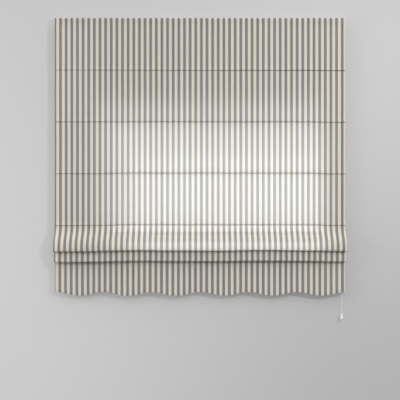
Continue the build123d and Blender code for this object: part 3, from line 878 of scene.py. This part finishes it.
def braided_cord(name, pitch):
    """A white braid of two sets of strands that cross round the cord, with painted shade between them."""
    material, shader, start = blank_finish(name, Sheen_Weight=0.2)
    place = start.place()
    x, y, z = [place.axis(number) for number in range(3)]
    turns = 2 * pi / pitch
    strands = ((z + x + y) * turns).sine() * ((z - x - y) * turns).sine()
    wear = place.noise(60.0, 3.0)
    # Painted shade where the strands dip, mixed with a random wear tone.
    shade = (strands * 0.35 + wear).ramp(0.1, 0.9)
    shade.mix((0.74, 0.74, 0.72, 1.0), (0.90, 0.90, 0.88, 1.0)).feed(shader, "Base Color")
    (wear * 0.2 + 0.55).feed(shader, "Roughness")
    strands.relief(0.00015).feed(shader, "Normal")
    return material


def cord_ring(bm, place):
    """A level ring of a cord's skin, ready to be drawn along."""
    spot = Matrix.Translation(place)
    made = bmesh.ops.create_circle(bm, segments=cord_sides, radius=cord_radius, matrix=spot)
    return list({edge for vert in made["verts"] for edge in vert.link_edges})


def draw_along(bm, ring, vector):
    """Draw a ring along a straight run."""
    made = bmesh.ops.extrude_edge_only(bm, edges=ring)["geom"]
    verts = [item for item in made if isinstance(item, bmesh.types.BMVert)]
    bmesh.ops.translate(bm, verts=verts, vec=vector)
    return [item for item in made if isinstance(item, bmesh.types.BMEdge) and item.is_boundary]


def draw_round(bm, ring, centre, angle):
    """Draw a ring round a roller, about a centre and the y axis."""
    made = bmesh.ops.spin(bm, geom=ring, cent=centre, axis=(0, 1, 0), angle=angle, steps=8)["geom_last"]
    return [item for item in made if isinstance(item, bmesh.types.BMEdge)]


def cord_piece(bm, name):
    """Finish some lengths of the lift cords as one piece."""
    bmesh.ops.remove_doubles(bm, verts=bm.verts, dist=cord_radius / 100)
    bmesh.ops.recalc_face_normals(bm, faces=bm.faces)
    piece = settle(bm, name, lift_braid)
    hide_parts(*cord_nodes)
    return piece


lift_braid = braided_cord("lift_braid", 0.0022)
bm = bmesh.new()
for lane, roller in zip(cord_lanes, roller_places):
    ring = cord_ring(bm, (roller.x - cord_turn, lane, roller.z))
    ring = draw_round(bm, ring, (roller.x, lane, roller.z), pi / 2)
    ring = draw_along(bm, ring, (wrap_place.x - roller.x, 0, 0))
    ring = draw_round(bm, ring, (wrap_place.x, lane, wrap_place.z), pi / 2)
    draw_along(bm, ring, (0, 0, lock_low - wrap_place.z))
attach(cord_piece(bm, "lift_cords_in_rail"), "headrail")

drop_levels = [roller_places[0].z, *[place.z for place in rod_places], bead_top]
drop_bodies = ["headrail", *[f"rod_{i}" for i in rods], "bottom_bar"]
for number, (upper, lower) in enumerate(zip(drop_levels, drop_levels[1:]), 1):
    bm = bmesh.new()
    for lane, roller in zip(cord_lanes, roller_places):
        ring = cord_ring(bm, (roller.x - cord_turn, lane, upper))
        for _ in range(4):
            ring = draw_along(bm, ring, (0, 0, (lower - upper) / 4))
    drop = cord_piece(bm, f"lift_cords_drop_{number}")
    if number in flat_panels:
        fold_joint = "raise" if number == 1 else f"panel_{number}_fold"
        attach(drop, drop_bodies[number - 1])
        closed_share = 1 - travels[fold_joint] / (upper - lower)
        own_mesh(drop)
    else:
        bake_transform(drop, *drop_bodies[number - 1 : number + 1], start=(0, 0, upper), end=(0, 0, lower))

bm = bmesh.new()
for lane in cord_lanes:
    ring = cord_ring(bm, (pull_x, lane, lock_low))
    for _ in range(8):
        ring = draw_along(bm, ring, (0, 0, (joiner_high.z - lock_low) / 8))
tails = cord_piece(bm, "lift_cords_tails")
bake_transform(tails, "headrail", "pull", start=(0, 0, lock_low), end=(0, 0, joiner_high.z))

# Pull cord: one thicker braid from the joiner, where the lift cords end, down to the acorn. A knot in
# its end holds the acorn, a glossy bell with a hollow for the knot.
gloss_plastic = grained_finish(
    "gloss_plastic",
    ((0.88, 0.88, 0.87), (0.92, 0.92, 0.91)),
    stretch=(1.0, 1.0, 0.3),
    scale=300.0,
    roughness=(0.14, 0.24),
    depth=0.00002,
    Coat_Weight=0.3,
)
dress(gloss_plastic, "cord_joiner", "acorn")
pull_radius = 0.0011
pull_low, pull_high = corners_of("pull_cord")
cord_axis = ((pull_low.x + pull_high.x) / 2, (pull_low.y + pull_high.y) / 2)
knot_radius = (pull_high.x - pull_low.x) / 2
knot_z = pull_low.z + knot_radius
pull_braid = braided_cord("pull_braid", 0.0032)


def cord_curve(name, points, radius, cyclic):
    """A round cord on one smooth line through its route."""
    curve = bpy.data.curves.new(name, "CURVE")
    curve.dimensions = "3D"
    curve.bevel_depth = radius
    curve.bevel_resolution = 4
    curve.use_fill_caps = not cyclic
    line = curve.splines.new("NURBS")
    line.points.add(len(points) - 1)
    for point, place in zip(line.points, points):
        point.co = (*place, 1.0)
    line.order_u = 3
    line.use_endpoint_u = not cyclic
    line.use_cyclic_u = cyclic
    line.resolution_u = 6
    curve.materials.append(pull_braid)
    piece = bpy.data.objects.new(name, curve)
    bpy.context.collection.objects.link(piece)
    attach(piece, "pull")
    return piece


pull_route = [
    (*cord_axis, pull_high.z),
    (*cord_axis, pull_high.z - 0.25),
    (*cord_axis, pull_high.z - 0.55),
    (*cord_axis, knot_z),
]
pull_cord = cord_curve("pull_cord_braid", pull_route, pull_radius, False)
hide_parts("pull_cord")
knot_strand = 0.0008
knot_size = (knot_radius - knot_strand) / 3
knot_route = []
for step in range(24):
    angle = 2 * pi * step / 24
    knot_route.append((
        cord_axis[0] + knot_size * (sin(angle) + 2 * sin(2 * angle)),
        cord_axis[1] + knot_size * (cos(angle) - 2 * cos(2 * angle)),
        knot_z - knot_size * 2 * sin(3 * angle),
    ))
knot = cord_curve("pull_cord_knot", knot_route, knot_strand, True)
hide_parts("pull_cord")

# Backdrop and floor: a plain grey plane that the brackets stand on, clear to a camera behind it, and a
# darker floor well below the blind. To a camera in front, the backdrop partly glows with painted light,
# brighter towards the lower left and darker towards the lower right, which also lightens shadows on it.
wall_gap = 0.001
wall_reach = 6.0
# Share of what a camera sees of the backdrop that is painted light.
painted_light_share = 0.3
floor_z = -2.35


def pale_paint(name, colour, corners=None):
    """Matt paint with a faint roller texture, see-through to a camera behind it.

    With corners, the levels of its low and its high corners, it partly glows with painted light
    that runs between those levels, seen by cameras and in mirrors in front of it.
    """
    material, shader, start = blank_finish(name, Roughness=0.9, Specular_IOR_Level=0.1)
    place = start.place()
    shade = place.noise(160.0, 4.0).ramp(0.3, 0.7)
    shade.mix(tuple(0.96 * part for part in colour) + (1.0,), (*colour, 1.0)).feed(shader, "Base Color")
    behind = start.node("ShaderNodeNewGeometry", out="Backfacing")
    seen = start.node("ShaderNodeLightPath", out="Is Camera Ray")
    clear = start.node("ShaderNodeBsdfTransparent")
    face = Dye(start.tree, shader.outputs[0])
    if corners:
        # Painted light: an emission between the corners' levels, mixed in for camera and glossy rays.
        rightward = place.axis(0).ramp(-0.9, 0.9)
        upward = place.axis(2).ramp(-1.7, 0.1)
        low, high = [rightward.mix(*[(grey, grey, grey, 1.0) for grey in pair]) for pair in corners]
        painted_glow = start.node("ShaderNodeEmission", None, {"Color": upward.mix(low, high)})
        mirrored = start.node("ShaderNodeLightPath", out="Is Glossy Ray")
        painted_light_weight = (seen + mirrored) * painted_light_share
        face = start.node("ShaderNodeMixShader", None, {0: painted_light_weight, 1: face, 2: painted_glow})
    both = start.node("ShaderNodeMixShader", None, {0: behind * seen, 1: face, 2: clear})
    both.feed(start.tree.nodes["Material Output"], "Surface")
    return material


def stage_plane(name, material, matrix):
    """A large plane that isn't part of the blind."""
    bm = bmesh.new()
    bmesh.ops.create_grid(bm, x_segments=1, y_segments=1, size=wall_reach, matrix=matrix)
    settle(bm, name, material)


# Painted light levels at the backdrop's low left and low right, then at its high left and high right.
wall_paint = pale_paint("wall_paint", (0.62, 0.62, 0.62), ((0.80, 0.35), (0.64, 0.66)))
floor_paint = pale_paint("floor_paint", (0.35, 0.35, 0.35))
upright = Matrix.Translation((0, wall_gap, 0)) @ Matrix.Rotation(pi / 2, 4, "X")
stage_plane("backdrop", wall_paint, upright)
stage_plane("floor", floor_paint, Matrix.Translation((0, 0, floor_z)))

# Light: a large soft lamp on the left, a small one on the upper right and a fill that is brighter from
# above. Cool daylight behind the flat panels and inside the first fold comes through the single cloth.
aim = Vector((0, 0, -0.7))


def area_lamp(name, place, target, size, energy):
    """A rectangular soft lamp that faces a target."""
    light = bpy.data.lights.new(name, "AREA")
    light.shape = "RECTANGLE"
    light.size, light.size_y = size
    light.energy = energy
    lamp = bpy.data.objects.new(name, light)
    lamp.location = place
    lamp.rotation_euler = (Vector(target) - Vector(place)).to_track_quat("-Z", "Y").to_euler()
    lamp.visible_camera = False
    bpy.context.collection.objects.link(lamp)
    return lamp


area_lamp("left", (-2.5, -1.4, -0.4), aim, (1.0, 1.0), 20.0)
area_lamp("right", (1.35, -2.0, 0.0), aim, (0.3, 0.3), 19.0)
glow_right = 0.555
glow_low = -0.935
glow_tint = (0.97, 1.0, 1.04)
lamp_gap = 0.0005
right_step = 0.04
top_step = 0.013
glows = ((-0.47, -0.36, 0.40), (-0.39, -0.47, 0.53), (-0.30, -0.60, 0.37))
for number, (glow_left, glow_top, share) in enumerate(glows, 1):
    fold_right = glow_right + right_step * (number - 2)
    for name, y, left, right, top, bottom, level in (
        ("panels", -0.002, glow_left, glow_right, glow_top, glow_low, 3.3),
        ("fold_neck", -0.0380, glow_left, fold_right, -0.9150, -0.930, 1.8),
        ("fold_top", -0.0412, glow_left, fold_right, -0.9295, -0.930 - top_step * number, 2.4),
        ("fold_middle", -0.0530, glow_left + 0.05, fold_right, -0.956, -0.987, 1.0),
        ("fold_turn", -0.065, glow_left + 0.06, fold_right, -0.988, -1.022, 2.6),
    ):
        size = (right - left, top - bottom)
        middle = Vector(((left + right) / 2, y - lamp_gap * number, (top + bottom) / 2))
        towards = middle - Vector((0, 1, 0))
        energy = level * share * size[0] * size[1]
        lamp = area_lamp(f"daylight_{name}_{number}", middle, towards, size, energy)
        lamp.data.color = glow_tint

fill_low = (0.12, 0.12, 0.12, 1.0)
fill_high = (1.63, 1.63, 1.63, 1.0)
world = bpy.data.worlds.new("fill")
world.use_nodes = True
way = Dye(world.node_tree).node("ShaderNodeTexCoord", out="Generated")
fill = way.axis(2).ramp(-0.1, 1.0).mix(fill_low, fill_high)
fill.feed(world.node_tree.nodes["Background"], "Color")
bpy.context.scene.world = world
bpy.context.scene.view_settings.view_transform = "Standard"

# Camera: level with the middle of the picture and square to the cloth, three metres in front of it, so the
# blind stands in the picture as it does in the photograph.
camera_distance = 3.0
camera_height = -0.800
camera_data = bpy.data.cameras.new("camera")
camera_data.lens = 60.03
camera_data.sensor_width = 36.0
camera = bpy.data.objects.new("camera", camera_data)
camera.location = (0, face_y - camera_distance, camera_height)
camera.rotation_euler = (pi / 2, 0, 0)
bpy.context.collection.objects.link(camera)
bpy.context.scene.camera = camera
